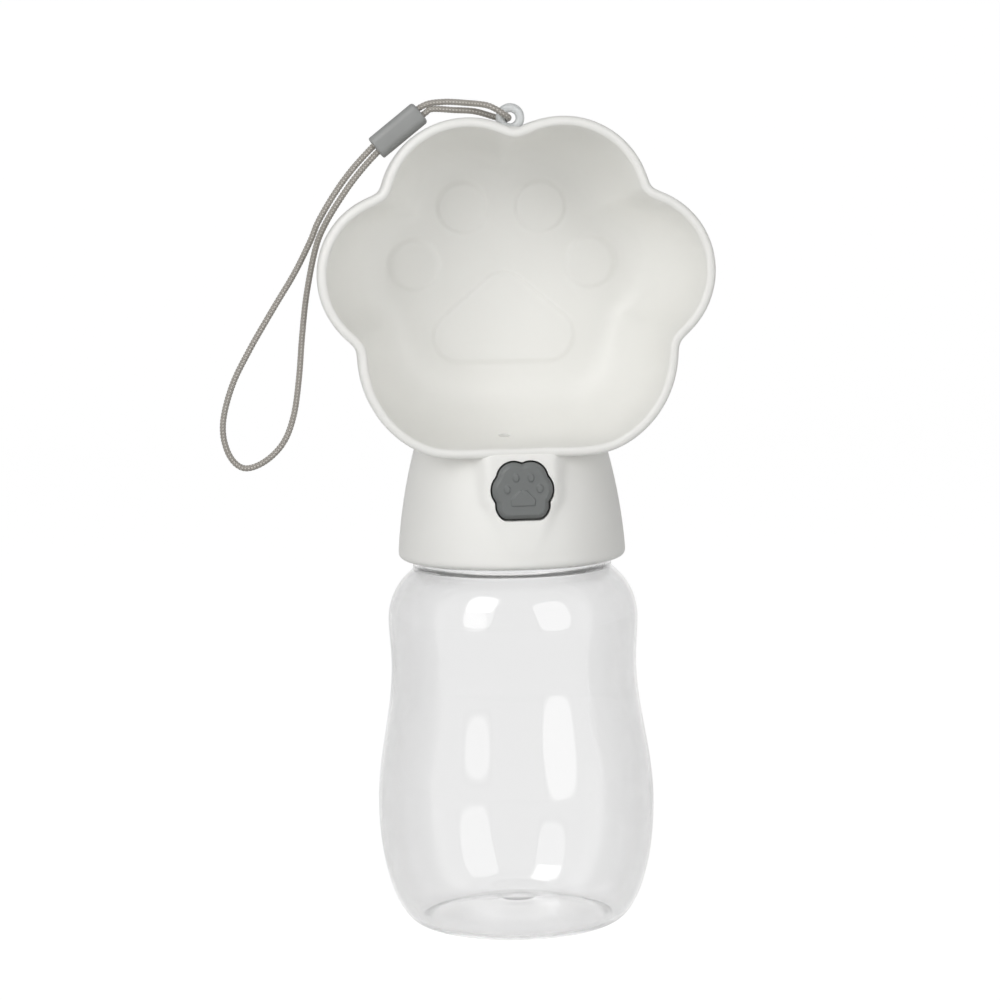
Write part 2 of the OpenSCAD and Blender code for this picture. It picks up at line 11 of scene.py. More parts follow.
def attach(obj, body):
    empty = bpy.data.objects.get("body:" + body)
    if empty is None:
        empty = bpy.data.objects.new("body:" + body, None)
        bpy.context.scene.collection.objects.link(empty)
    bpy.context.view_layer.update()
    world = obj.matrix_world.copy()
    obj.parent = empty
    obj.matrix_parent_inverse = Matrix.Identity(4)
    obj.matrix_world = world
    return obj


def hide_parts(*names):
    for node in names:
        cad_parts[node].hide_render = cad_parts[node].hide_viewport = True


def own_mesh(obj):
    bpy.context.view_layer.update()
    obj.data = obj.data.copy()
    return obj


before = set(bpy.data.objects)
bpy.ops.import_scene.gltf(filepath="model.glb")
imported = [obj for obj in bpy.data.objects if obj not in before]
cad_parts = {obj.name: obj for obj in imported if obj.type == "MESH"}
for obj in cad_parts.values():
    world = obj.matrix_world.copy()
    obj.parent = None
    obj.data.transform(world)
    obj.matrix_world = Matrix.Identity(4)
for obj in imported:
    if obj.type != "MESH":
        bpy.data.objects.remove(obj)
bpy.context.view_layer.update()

# ---- The view -------------------------------------------------------------------------------
# The bottle stands on a pale table in front of a white background. The camera is a little above
# the bowl's middle and to its left, far off, and turned by a degree about its own line of sight.
MM = 0.001
azimuth, pitch, roll = math.radians(6.0), math.radians(6.25), math.radians(1.04)
ahead = Vector((math.sin(azimuth) * math.cos(pitch), math.cos(azimuth) * math.cos(pitch), -math.sin(pitch)))
level = Vector((math.cos(azimuth), -math.sin(azimuth), 0.0))
upright = level.cross(ahead)
side_axis = level * math.cos(roll) - upright * math.sin(roll)
up_axis = upright * math.cos(roll) + level * math.sin(roll)
camera_data = bpy.data.cameras.new("photo_camera")
camera_data.sensor_width = 36.0
camera_data.lens = 115.74
camera_data.clip_start, camera_data.clip_end = 0.05, 20.0
camera = bpy.data.objects.new("photo_camera", camera_data)
camera.matrix_world = Matrix.Translation(Vector((-91.5, -842.7, 205.6)) * MM) @ Matrix(
    (side_axis, up_axis, -ahead)).transposed().to_4x4()
scene = bpy.context.scene
scene.collection.objects.link(camera)
scene.camera = camera
scene.view_settings.view_transform = "Standard"


class Value:
    """A socket's value in a node tree. Arithmetic on it adds Math nodes."""

    def __init__(self, finish, socket):
        self.finish, self.socket = finish, socket

    def math(self, operation, *others):
        values = {i: v for i, v in enumerate((self,) + others)}
        return self.finish.add("ShaderNodeMath", {"operation": operation}, values)

    def __add__(self, other):
        return self.math("ADD", other)

    def __radd__(self, other):
        return self.math("ADD", other)

    def __sub__(self, other):
        return self.math("SUBTRACT", other)

    def __rsub__(self, other):
        return self.finish.add("ShaderNodeMath", {"operation": "SUBTRACT"}, {0: other, 1: self})

    def __mul__(self, other):
        return self.math("MULTIPLY", other)

    def __rmul__(self, other):
        return self.math("MULTIPLY", other)

    def limit(self):
        return self.finish.add("ShaderNodeClamp", None, {0: self})


class Finish:
    """A material, or the world, whose nodes are written as expressions."""

    def __init__(self, name, owner=None):
        self.owner = owner or bpy.data.materials.new(name)
        self.owner.use_nodes = True
        self.tree = self.owner.node_tree
        self.shader = self.tree.nodes.get("Principled BSDF")

    def add(self, kind, settings=None, values=None, out=0):
        """Adds a node with the given settings, and values or links for its sockets."""
        node = self.tree.nodes.new(kind)
        for key, value in (settings or {}).items():
            setattr(node, key, value)
        for key, value in (values or {}).items():
            self.join(node.inputs[key], value)
        return Value(self, node.outputs[out])

    def join(self, socket, value):
        if isinstance(value, Value):
            self.tree.links.new(value.socket, socket)
        elif hasattr(value, "__len__") and socket.type == "RGBA":
            socket.default_value = (*value[:3], 1.0)
        else:
            socket.default_value = value

    def set(self, **values):
        """Sets or links the sockets of the main shader, written with _ for a space."""
        for key, value in values.items():
            self.join(self.shader.inputs[key.replace("_", " ")], value)

    def blend(self, share, first, second):
        """A colour between two others."""
        return self.add("ShaderNodeMix", {"data_type": "RGBA"}, {0: share, 6: first, 7: second}, out=2)

    def noise(self, scale, detail=2.0):
        """Random patches that are fixed to the piece, about so many of them in a metre."""
        place = self.add("ShaderNodeTexCoord", out="Object")
        return self.add("ShaderNodeTexNoise", None, {"Vector": place, "Scale": scale, "Detail": detail})

    def map_place(self):
        """The two numbers of the piece's UV map."""
        spot = self.add("ShaderNodeUVMap", {"uv_map": "UVMap"})
        u = self.add("ShaderNodeSeparateXYZ", None, {0: spot}, out="X")
        return u, Value(self, u.socket.node.outputs["Y"])

    def bump(self, height, distance, strength=1.0):
        values = {"Height": height, "Distance": distance, "Strength": strength}
        self.join(self.shader.inputs["Normal"], self.add("ShaderNodeBump", None, values))


def ray_kinds(finish):
    """1 for what the camera sees, for what is seen through clear plastic, and for what is mirrored."""
    seen = finish.add("ShaderNodeLightPath", out="Is Camera Ray")
    kinds = seen.socket.node.outputs
    through = Value(finish, kinds["Is Transmission Ray"])
    # a ray that goes through clear plastic counts as glossy too
    return seen, through, Value(finish, kinds["Is Glossy Ray"]) - through


glow_share = 0.86  # the rest of the table's white is its own, so that it keeps the bottle's shadow
floor_finish = Finish("white_table")
floor_finish.set(Base_Color=(0.86, 0.86, 0.86), Roughness=0.9)
seen, through, mirrored = ray_kinds(floor_finish)
white_glow = floor_finish.add("ShaderNodeEmission", None, {
    "Color": (1.0, 1.0, 1.0), "Strength": seen * 1.12 + through * 0.92 + mirrored * 0.74})
shown = floor_finish.add("ShaderNodeMixShader", None, {
    0: (seen + through + mirrored).limit() * glow_share,
    1: Value(floor_finish, floor_finish.shader.outputs[0]), 2: white_glow})
floor_finish.join(floor_finish.tree.nodes["Material Output"].inputs["Surface"], shown)
half_width, front_y, back_y, back_top, bend_radius = 1.3, -4.0, 1.7, 3.0, 0.4
bend = [(back_y - bend_radius * (1 - math.sin(a)), bend_radius * (1 - math.cos(a)))
        for a in np.linspace(0, math.pi / 2, 13)]
profile = [(front_y, 0.0)] + bend + [(back_y, back_top)]
floor_mesh = bpy.data.meshes.new("table")
floor_mesh.from_pydata([(x, y, z) for y, z in profile for x in (-half_width, half_width)], [],
                       [(2 * i, 2 * i + 1, 2 * i + 3, 2 * i + 2) for i in range(len(profile) - 1)])
floor_mesh.shade_smooth()
floor_mesh.materials.append(floor_finish.owner)
table = bpy.data.objects.new("table", floor_mesh)
scene.collection.objects.link(table)

world = bpy.data.worlds.new("white_room")
scene.world = world
room = Finish("white_room", world)
seen, through, mirrored = ray_kinds(room)
light_level = 0.18
room_light = room.tree.nodes["Background"]
room.join(room_light.inputs["Color"], (1.0, 1.0, 1.0))
room.join(room_light.inputs["Strength"],
          (seen + through * 0.82 + mirrored * 0.72) * (1.0 - light_level) + light_level)


def facing(turn, height, distance):
    """A place in front of the bottle, turn degrees to the right of the bowl's front, and the three
    axes of something there that faces the bottle."""
    bearing = math.radians(turn)
    place = Vector((distance * math.sin(bearing), -distance * math.cos(bearing), height))
    middle = Vector((0.0, 0.0, 0.11))
    away = (place - middle).normalized()
    right = Vector((0.0, 0.0, 1.0)).cross(away).normalized()
    return place, right, away.cross(right), away


def softbox(name, spot, width, tall, power):
    """A soft lamp that the clear bottle doesn't mirror: the cards below stand in for it there."""
    place, right, over, away = spot
    lamp = bpy.data.lights.new(name, "AREA")
    lamp.shape, lamp.size, lamp.size_y, lamp.energy = "RECTANGLE", width, tall, power
    holder = bpy.data.objects.new(name, lamp)
    holder.matrix_world = Matrix.Translation(place) @ Matrix((right, over, away)).transposed().to_4x4()
    holder.visible_glossy = holder.visible_transmission = False
    scene.collection.objects.link(holder)


def card(name, spot, width, tall, glow, crisp=60.0):
    """The faint face of a lamp, as the clear bottle mirrors it. The less crisp, the softer its edges."""
    place, right, over, _ = spot
    corners = ((0, 0), (1, 0), (1, 1), (0, 1))
    mesh = bpy.data.meshes.new(name)
    mesh.from_pydata([place + right * (u - 0.5) * width + over * (v - 0.5) * tall for u, v in corners],
                     [], [(0, 1, 2, 3)])
    layer = mesh.uv_layers.new(name="UVMap")
    layer.data.foreach_set("uv", [value for corner in corners for value in corner])
    finish = Finish(name)
    u, v = finish.map_place()
    edge = (u * (1 - u) * v * (1 - v) * crisp).limit()
    light = finish.add("ShaderNodeEmission", None, {"Color": (1.0, 1.0, 1.0), "Strength": edge * glow})
    clear = finish.add("ShaderNodeBsdfTransparent")
    finish.join(finish.tree.nodes["Material Output"].inputs["Surface"],
                finish.add("ShaderNodeMixShader", None, {0: edge, 1: clear, 2: light}))
    mesh.materials.append(finish.owner)
    piece = bpy.data.objects.new(name, mesh)
    for kind in ("camera", "diffuse", "shadow"):
        setattr(piece, "visible_" + kind, False)
    scene.collection.objects.link(piece)


softbox("softbox_left", facing(-44, 0.52, 1.05), 0.75, 0.75, 5.9)
softbox("softbox_right", facing(33, 0.42, 1.10), 0.50, 0.70, 3.3)
softbox("softbox_top", facing(-6, 1.10, 0.62), 0.9, 0.6, 1.4)
card("card_left", facing(-40, 0.52, 1.05), 0.60, 0.92, 1.7)
card("card_right", facing(33, 0.52, 1.10), 0.75, 1.25, 2.0)
card("card_high", facing(-42, 0.84, 0.85), 0.60, 0.90, 4.5, 28.0)

# ---- Lanyard cord ----------------------------------------------------------------------------
# A limp round braid of silver and taupe yarns, 1.6 mm thick. It is folded through the eyelet, runs
# doubled through the grey sleeve, and its lower end opens into the wrist loop.
cord_radius = 0.8
cord_points = np.array([
    (-29.2, -19, 211.8), (-23.1, -19.2, 216.5), (-17.8, -19.8, 217.5), (-11.5, -21, 217.1),
    (-7.2, -23.1, 216.5), (-4.7, -24.05, 215.4), (-2.85, -23.95, 214.2), (-1.5, -22.9, 213.4),
    (-1.4, -21.4, 213), (-2.65, -20.15, 212.8), (-5, -19.8, 213.6), (-9.8, -19.7, 215),
    (-15, -19.5, 215.4), (-20.4, -19.25, 215.75), (-22.3, -19.1, 214.8), (-28, -19, 210.3),
    (-34.1, -18.95, 205.6), (-39.7, -17.4, 199.6), (-44.2, -17, 193.6), (-48.5, -17, 186.8),
    (-51.1, -17, 180.6), (-53.6, -17, 169.2), (-55, -17, 158.6), (-56.1, -17, 147.6),
    (-57.7, -17, 138), (-60.6, -17, 131), (-65.6, -17, 126.3), (-70.9, -17, 124.9),
    (-74.6, -17, 128.6), (-75.9, -17, 136), (-73.4, -17, 145.8), (-68.6, -17, 155.2),
    (-62.4, -17, 165.4), (-56.6, -17, 174.6), (-52.3, -17, 182.8), (-50.2, -17, 187.6),
    (-45.9, -17, 194.6), (-41.2, -17.4, 200.8), (-35.3, -18.9, 207), (-30.6, -19, 210.7)])


def smooth_path(points, step):
    """Points at most a step apart on a smooth curve through the given ones."""
    path = []
    for i in range(len(points) - 1):
        a, b, c, d = (points[min(max(k, 0), len(points) - 1)] for k in (i - 1, i, i + 1, i + 2))
        count = max(2, math.ceil(np.linalg.norm(c - b) / step))
        for t in np.arange(count) / count:
            path.append(0.5 * (2 * b + (c - a) * t + (2 * a - 5 * b + 4 * c - d) * t * t
                               + (3 * b - a - 3 * c + d) * t ** 3))
    return np.array(path + [points[-1]])


def skin(name, rings, finish, start=None, end=None, loop=False, uv=None):
    """A mesh through rings of points in mm. start and end are points that close its two ends,
    loop joins the last ring to the first, and uv gives each ring and each of its points a number."""
    rings = np.asarray(rings, float)
    m, n = rings.shape[:2]
    points = rings.reshape(-1, 3)
    k = np.arange(m if loop else m - 1)[:, None]
    j = np.arange(n)[None, :]
    following = (k + 1) % m
    quads = np.stack([k * n + j, k * n + (j + 1) % n, following * n + (j + 1) % n, following * n + j],
                     axis=-1).reshape(-1, 4)
    faces = [quads.tolist()]
    if start is not None:
        points = np.vstack([points, start])
        faces.append([[len(points) - 1, (i + 1) % n, i] for i in range(n)])
    if end is not None:
        points = np.vstack([points, end])
        base = (m - 1) * n
        faces.append([[len(points) - 1, base + i, base + (i + 1) % n] for i in range(n)])
    faces = [f for group in faces for f in group]
    a, b, c = (points[[f[i] for f in faces]] for i in (0, 1, 2))
    volume = np.einsum("ij,ij->i", a, np.cross(b, c)).sum()
    squares = points[quads[:, 3]]
    volume += np.einsum("ij,ij->i", a[:len(quads)], np.cross(c[:len(quads)], squares)).sum()
    if volume < 0:
        faces = [f[::-1] for f in faces]
    mesh = bpy.data.meshes.new(name)
    mesh.from_pydata((points * MM).tolist(), [], faces)
    if uv is not None:
        along, across = uv
        layer = mesh.uv_layers.new(name="UVMap")
        places = [(along[a], across[b]) for a, b in ((k, j), (k, j + 1), (k + 1, j + 1), (k + 1, j))]
        corner = np.stack([np.broadcast_to(number, (len(k), n)) for place in places for number in place],
                          axis=-1).reshape(-1, 4, 2)
        if volume < 0:
            corner = corner[:, ::-1]
        flat = np.zeros((len(mesh.loops), 2))
        flat[:corner.size // 2] = corner.reshape(-1, 2)
        layer.data.foreach_set("uv", flat.astype(np.float32).ravel())
    mesh.shade_smooth()
    mesh.materials.append(finish.owner)
    piece = bpy.data.objects.new(name, mesh)
    scene.collection.objects.link(piece)
    return piece


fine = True
braid_cells, cell_length, cord_sides = 6, 0.84, 24
cord_line = smooth_path(cord_points, 0.17 if fine else 0.5)
heading = np.gradient(cord_line, axis=0)
heading /= np.linalg.norm(heading, axis=1)[:, None]
outward = np.cross((0, 1, 0), heading)
outward /= np.linalg.norm(outward, axis=1)[:, None]
across = np.cross(heading, outward)
run = np.concatenate([[0], np.cumsum(np.linalg.norm(np.diff(cord_line, axis=0), axis=1))])
turn = np.arange(cord_sides + 1) / cord_sides
cell_u = run[:, None] / cell_length
cell_v = braid_cells * turn[None, :-1]
strand_a, strand_b = cell_v + cell_u, cell_v - cell_u
over = (np.floor(strand_a) + np.floor(strand_b)) % 2
ridge_a, ridge_b = np.sin(np.pi * (strand_a % 1)), np.sin(np.pi * (strand_b % 1))
yarn_height = np.where(over > 0, ridge_a ** 0.6 * (0.6 + 0.4 * ridge_b),
                       ridge_b ** 0.6 * (0.6 + 0.4 * ridge_a))
angle = 2 * np.pi * turn[None, :-1]
yarn_radius = cord_radius * (0.88 + 0.13 * yarn_height)
cord_rings = cord_line[:, None] + yarn_radius[..., None] * (
    np.cos(angle)[..., None] * outward[:, None] + np.sin(angle)[..., None] * across[:, None])

braid = Finish("lanyard_braid")
spot_u, spot_v = braid.map_place()
line_a, line_b = spot_v + spot_u, spot_v - spot_u
odd = (line_a.math("FLOOR") + line_b.math("FLOOR")).math("FLOORED_MODULO", 2.0)
fold_a = (line_a.math("FRACT") * math.pi).math("SINE")
fold_b = (line_b.math("FRACT") * math.pi).math("SINE")
crown = odd * fold_a + (1 - odd) * fold_b
fleck_and_sheen = braid.noise(900.0, 3.0)
yarn = braid.blend(odd, (0.50, 0.475, 0.43), (0.235, 0.21, 0.18))
# painted highlight: the top of each yarn is lightened towards pale grey, broken up by the random flecks
yarn = braid.blend((crown.math("POWER", 3.0) * fleck_and_sheen * 0.75).limit(), yarn, (0.72, 0.70, 0.66))
# painted shade: the grooves between the yarns are darkened towards near black
yarn = braid.blend(((1 - crown) * 0.7).limit(), yarn, (0.13, 0.115, 0.10))
braid.set(Base_Color=yarn, Roughness=0.55 - fleck_and_sheen * 0.15, Sheen_Weight=0.25)
fibre = (odd * line_b + (1 - odd) * line_a) * 26.0
braid.bump(fibre.math("SINE") * 0.5 + fleck_and_sheen, 0.00003, 0.5)
lanyard = skin("lanyard_braid_cord", cord_rings, braid, start=cord_line[0], end=cord_line[-1],
               uv=(run / cell_length, braid_cells * turn))
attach(lanyard, "head")
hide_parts("lanyard_cord")

# ---- Cord sleeve -----------------------------------------------------------------------------
# A soft grey plastic sleeve with an oval section and rounded ends. Both strands pass through its
# slot, and friction keeps it where it is pushed.
sleeve_length, sleeve_width, sleeve_thick, slot_width, slot_thick = 14.6, 6.4, 4.6, 4.2, 2.2
sleeve_middle, sleeve_turn = np.array((-29.35, -19.0, 210.5)), math.radians(51.8)


def oval_ring(width, thick, z, corners=18):
    """A flat-sided oval at height z: width lies along X and thickness along Y."""
    bend = np.linspace(-np.pi / 2, np.pi / 2, corners)
    half = (width - thick) / 2
    right = np.stack([half + thick / 2 * np.cos(bend), thick / 2 * np.sin(bend)], 1)
    return np.column_stack([np.vstack([right, -right]), np.full(2 * corners, z)])


sleeve_rings = []
for end, edge in ((-1, 0.45), (1, 0.8)):
    for quarter in np.linspace(0, np.pi / 2, 6)[::-end]:
        trim = edge * (1 - math.sin(quarter))
        sleeve_rings.append(oval_ring(sleeve_width - 2 * trim, sleeve_thick - 2 * trim,
                                      end * (sleeve_length / 2 - edge * (1 - math.cos(quarter)))))
for z, flare in ((1, 0.5), (1, 0.25), (0.97, 0), (-0.97, 0), (-1, 0.25), (-1, 0.5)):
    sleeve_rings.append(oval_ring(slot_width + flare, slot_thick + flare, z * sleeve_length / 2))
lean = np.array([[math.cos(sleeve_turn), 0, math.sin(sleeve_turn)], [0, 1, 0],
                 [-math.sin(sleeve_turn), 0, math.cos(sleeve_turn)]])
sleeve_rings = np.array(sleeve_rings) @ lean.T + sleeve_middle
grey_sleeve = Finish("grey_sleeve")
grain = grey_sleeve.noise(2600.0, 2.0)
patch = grey_sleeve.noise(120.0, 2.0)
grey_sleeve.set(Base_Color=grey_sleeve.blend(patch, (0.265, 0.27, 0.265), (0.315, 0.32, 0.315)),
                Roughness=0.42 + grain * 0.12)
grey_sleeve.bump(grain, 0.00002, 0.4)
sleeve = skin("lanyard_sleeve", sleeve_rings, grey_sleeve, loop=True)
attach(sleeve, "head")
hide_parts("lanyard_slider")

# ---- Eyelet ----------------------------------------------------------------------------------
# A small ring of milky, translucent plastic, pressed into a pocket behind the bowl's top notch. The
# cord is folded through it.
eyelet_middle, eyelet_major, eyelet_bar = np.array((-0.9, -22.0, 213.18)), 2.55, 1.15
milky = Finish("milky_plastic")
cloud = milky.noise(300.0, 2.0)
milky.set(Base_Color=milky.blend(cloud, (0.80, 0.82, 0.82), (0.88, 0.90, 0.90)), Roughness=0.28 + cloud * 0.1,
          Transmission_Weight=0.35, IOR=1.45)
milky.bump(cloud, 0.00005, 0.3)
eyelet_rings = []
for a in np.arange(64) * 2 * np.pi / 64:
    tube = np.arange(28) * 2 * np.pi / 28
    reach_out = eyelet_major + eyelet_bar * np.cos(tube)
    eyelet_rings.append(np.column_stack([reach_out * math.cos(a), eyelet_bar * np.sin(tube),
                                         reach_out * math.sin(a)]))
eyelet = skin("lanyard_eyelet", np.array(eyelet_rings) + eyelet_middle, milky, loop=True)
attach(eyelet, "head")
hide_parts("eyelet")

# ---- Bottle ----------------------------------------------------------------------------------
# A gourd-shaped bottle, blown from clear PET with a 1 mm wall. It has a rounded heel, a pushed-up
# base with the ring of its gate, a support bead under the neck, and a thread on the neck.
base_radius, belly_radius, belly_height, waist_radius, waist_height = 25.5, 36.8, 32.0, 32.6, 70.0
bulge_radius, bulge_height, shoulder_radius, wall, push_up = 33.15, 81.5, 16.5, 1.0, 5.0
neck_radius, neck_wall, neck_height = 24.8, 2.5, 9.0
arc_z = bulge_height + shoulder_radius * math.sin(math.radians(45))
arc_r = bulge_radius - shoulder_radius * (1 - math.cos(math.radians(45)))
bead_radius = neck_radius + 1.6
slope_z = arc_z + arc_r - bead_radius - 0.2
bead_z = slope_z + 0.5
bead_top = bead_z + 1.8
neck_top = bead_top + neck_height
bore_radius = neck_radius - neck_wall


def ease(t):
    """A slow start and a slow end from 0 to 1."""
    return (1 - np.cos(np.pi * t)) / 2


def flank(r0, r1, z0, z1, count):
    """A part of the bottle's side that starts and ends upright."""
    t = np.arange(1, count + 1) / count
    return [(r0 + (r1 - r0) * ease(v), z0 + (z1 - z0) * v) for v in t]


def heel(r0, r1, z0, z1, count):
    """The round from the ring that the bottle stands on up to its belly."""
    a = np.pi / 2 * np.arange(count + 1) / count
    return [(r0 + (r1 - r0) * math.sin(v), z1 - (z1 - z0) * math.cos(v)) for v in a]


def shoulder(inside, count):
    """The round above the bulge, up to where the wall leans in by 45 degrees."""
    a = np.pi / 4 * np.arange(1, count + 1) / count
    r = shoulder_radius - inside
    return [(bulge_radius - shoulder_radius + r * math.cos(v), bulge_height + r * math.sin(v)) for v in a]


def lathe(profile, sides):
    """Rings of a shape turned about the bottle's axis, from its profile of radius and height."""
    a = np.arange(sides) * 2 * np.pi / sides
    return np.array([np.column_stack([r * np.cos(a), r * np.sin(a), np.full(sides, z)]) for r, z in profile])


def soften(points, share=0.3, rounds=2):
    """Cuts the corners of a profile."""
    for _ in range(rounds):
        points = [p for a, b in zip(points[:-1], points[1:]) for p in (
            (a[0] + share * (b[0] - a[0]), a[1] + share * (b[1] - a[1])),
            (b[0] + share * (a[0] - b[0]), b[1] + share * (a[1] - b[1])))]
    return points


under = soften([(0.4, push_up + 0.1), (4.1, push_up + 0.1), (4.9, push_up - 0.2), (10, 0.85 * push_up),
                (18, 0.5 * push_up), (base_radius - 2.2, 0.7), (base_radius - 1, 0)])
outside = heel(base_radius, belly_radius, 0, belly_height, 28)
outside += flank(belly_radius, waist_radius, belly_height, waist_height, 30)
outside += flank(waist_radius, bulge_radius, waist_height, bulge_height, 12) + shoulder(0, 14)
outside += soften([(arc_r, arc_z), (bead_radius + 0.1, slope_z), (bead_radius - 0.25, bead_z - 0.1),
                   (bead_radius - 0.05, bead_z + 0.15), (bead_radius, bead_z + 0.4),
                   (bead_radius, bead_top - 0.3), (bead_radius - 0.3, bead_top), (neck_radius, bead_top),
                   (neck_radius, bead_top + 0.5), (neck_radius, neck_top - 0.5),
                   (neck_radius - 0.4, neck_top)], 0.2, 2)
lip = [(neck_radius - 0.9, neck_top), (bore_radius + 0.7, neck_top), (bore_radius + 0.2, neck_top - 0.15)]
inside = heel(base_radius, belly_radius - wall, wall, belly_height, 28)
inside += flank(belly_radius - wall, waist_radius - wall, belly_height, waist_height, 30)
inside += flank(waist_radius - wall, bulge_radius - wall, waist_height, bulge_height, 12) + shoulder(wall, 14)
inside += soften([(bulge_radius - shoulder_radius + (shoulder_radius - wall) * math.cos(math.pi / 4),
                   bulge_height + (shoulder_radius - wall) * math.sin(math.pi / 4)),
                  (bead_radius - 1.6 * wall, slope_z), (bead_radius - 2.2, bead_top + 0.5),
                  (bore_radius, bead_top + 3.2), (bore_radius, neck_top - 0.6)], 0.15, 2)
floor_up = soften([(base_radius, wall), (base_radius - 1.4, wall), (18, 0.5 * push_up + wall),
                   (10, 0.85 * push_up + wall), (4.9, push_up - 0.2 + wall), (4.1, push_up + 0.1 + wall),
                   (0.4, push_up + 0.1 + wall)])
bottle_profile = under + outside + lip + inside[::-1][:-1] + floor_up
clear_pet = Finish("clear_pet")
ripple = clear_pet.noise(45.0, 1.0)
haze = clear_pet.noise(180.0, 3.0)
grazing = clear_pet.add("ShaderNodeLayerWeight", None, {"Blend": 0.5}, out="Facing")
clear_pet.set(Base_Color=(0.99, 0.99, 0.99), Roughness=haze * 0.03, Transmission_Weight=1.0, IOR=1.57,
              Alpha=1 - grazing.math("POWER", 2.0) * 0.75)
clear_pet.bump(ripple, 0.0006, 0.25)
bottle = skin("blown_bottle", lathe(bottle_profile, 192), clear_pet, start=(0, 0, push_up + 0.1),
              end=(0, 0, push_up + 0.1 + wall))
bottle.visible_shadow = False
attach(bottle, "bottle")
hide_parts("bottle")

# ---- Neck and cap threads --------------------------------------------------------------------
# One and a half turns of a coarse round thread, 4 mm a turn, moulded on the neck's outside, and its
# mate inside the cap's skirt. Each is a ridge swept along a helix.


def start_tree(name, **inputs):
    """A geometry nodes tree with named inputs of the given kinds, and its first and last nodes."""
    tree = bpy.data.node_groups.new(name, "GeometryNodeTree")
    for label, kind in inputs.items():
        tree.interface.new_socket(label, in_out="INPUT", socket_type="NodeSocket" + kind)
    tree.interface.new_socket("Geometry", in_out="OUTPUT", socket_type="NodeSocketGeometry")
    return tree, tree.nodes.new("NodeGroupInput"), tree.nodes.new("NodeGroupOutput")


def helix_tree(name):
    """Geometry nodes that sweep a round ridge along a helix, with its sizes as named inputs."""
    tree, given, result = start_tree(name, Turns="Float", Radius="Float", Height="Float", Thickness="Float",
                                     Steps="Int", Sides="Int", Finish="Material")
    nodes, link = tree.nodes, tree.links.new
    spiral, section, sweep, shade, solid, painted = (nodes.new("GeometryNode" + kind) for kind in (
        "CurveSpiral", "CurvePrimitiveCircle", "CurveToMesh", "SetShadeSmooth", "RealizeInstances",
        "SetMaterial"))
    link(given.outputs["Turns"], spiral.inputs["Rotations"])
    link(given.outputs["Steps"], spiral.inputs["Resolution"])
    link(given.outputs["Radius"], spiral.inputs["Start Radius"])
    link(given.outputs["Radius"], spiral.inputs["End Radius"])
    link(given.outputs["Height"], spiral.inputs["Height"])
    link(given.outputs["Thickness"], section.inputs["Radius"])
    link(given.outputs["Sides"], section.inputs["Resolution"])
    link(spiral.outputs[0], sweep.inputs["Curve"])
    link(section.outputs[0], sweep.inputs["Profile Curve"])
    sweep.inputs["Fill Caps"].default_value = True
    link(sweep.outputs[0], shade.inputs[0])
    link(shade.outputs[0], solid.inputs[0])
    link(solid.outputs[0], painted.inputs["Geometry"])
    link(given.outputs["Finish"], painted.inputs["Material"])
    link(painted.outputs[0], result.inputs[0])
    return tree


def grow(name, tree, place=None, **values):
    """Runs a geometry nodes tree with the given inputs and keeps its result as a plain mesh."""
    seed = bpy.data.objects.new(name, bpy.data.meshes.new(name))
    scene.collection.objects.link(seed)
    modifier = seed.modifiers.new("grow", "NODES")
    modifier.node_group = tree
    for socket in tree.interface.items_tree:
        if socket.in_out == "INPUT" and socket.name in values:
            modifier[socket.identifier] = values[socket.name]
    mesh = bpy.data.meshes.new_from_object(seed.evaluated_get(bpy.context.evaluated_depsgraph_get()))
    seed.modifiers.clear()
    seed.data = mesh
    mesh.name = name
    if place is not None:
        mesh.transform(place)
    return seed


helix = helix_tree("swept_helix")
white_part = Finish("white_moulding")
tone = white_part.noise(60.0, 2.0)
white_part.set(Base_Color=white_part.blend(tone, (0.76, 0.76, 0.75), (0.80, 0.80, 0.79)),
               Roughness=0.38 + tone * 0.1)
white_part.bump(white_part.noise(1800.0, 2.0), 0.00002, 0.3)
neck_thread = grow("neck_thread", helix, Matrix.Translation((0, 0, (bead_top + 1.9) * MM)), Turns=1.5,
                   Radius=(neck_radius - 0.15) * MM, Height=6 * MM, Thickness=0.55 * MM, Steps=96, Sides=16,
                   Finish=clear_pet.owner)
neck_thread.visible_shadow = False
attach(neck_thread, "bottle")
cap_thread = grow("cap_thread", helix, Matrix.Translation((0, 0, (bead_top + 3.9) * MM)), Turns=1.2,
                  Radius=(neck_radius + 0.6) * MM, Height=4.8 * MM, Thickness=0.4 * MM, Steps=96, Sides=12,
                  Finish=white_part.owner)
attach(cap_thread, "head")

# ---- Inner cap and its seals -----------------------------------------------------------------
# A white threaded liner closes the neck. It has a spoked water port, a silicone ring seals it on
# the neck's top edge, and a small silicone plug lets air back in. Three screws hold it in the collar.


def give(finish, *parts):
    """Gives CAD nodes, whose shape is right as it is, their material."""
    for part in parts:
        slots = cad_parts[part].data.materials
        slots.clear()
        slots.append(finish.owner)


give(white_part, "inner_cap")
silicone = Finish("silicone")
milk = silicone.noise(150.0, 2.0)
silicone.set(Base_Color=silicone.blend(milk, (0.66, 0.67, 0.66), (0.72, 0.73, 0.72)),
             Roughness=0.5 + milk * 0.15)
silicone.bump(silicone.noise(1200.0, 2.0), 0.00002, 0.3)
give(silicone, "bottle_gasket", "vent_plug")

# ---- Valve and button rod --------------------------------------------------------------------
# The white water chamber sits on a silicone ring on the cap. Its stem carries a silicone disc on a
# clip, and the button's rod, sealed by a black ring, pushes the stem down. A silicone sleeve joins
# the chamber's spout to the bowl.
give(white_part, "valve_chamber", "valve_stem", "stem_clip", "button_slide")
give(silicone, "chamber_gasket", "outlet_seal", "valve_disc")
black_seal = Finish("black_seal")
dust = black_seal.noise(700.0, 3.0)
black_seal.set(Base_Color=black_seal.blend(dust, (0.02, 0.02, 0.02), (0.045, 0.045, 0.045)),
               Roughness=0.5 + dust * 0.2)
give(black_seal, "rod_seal")

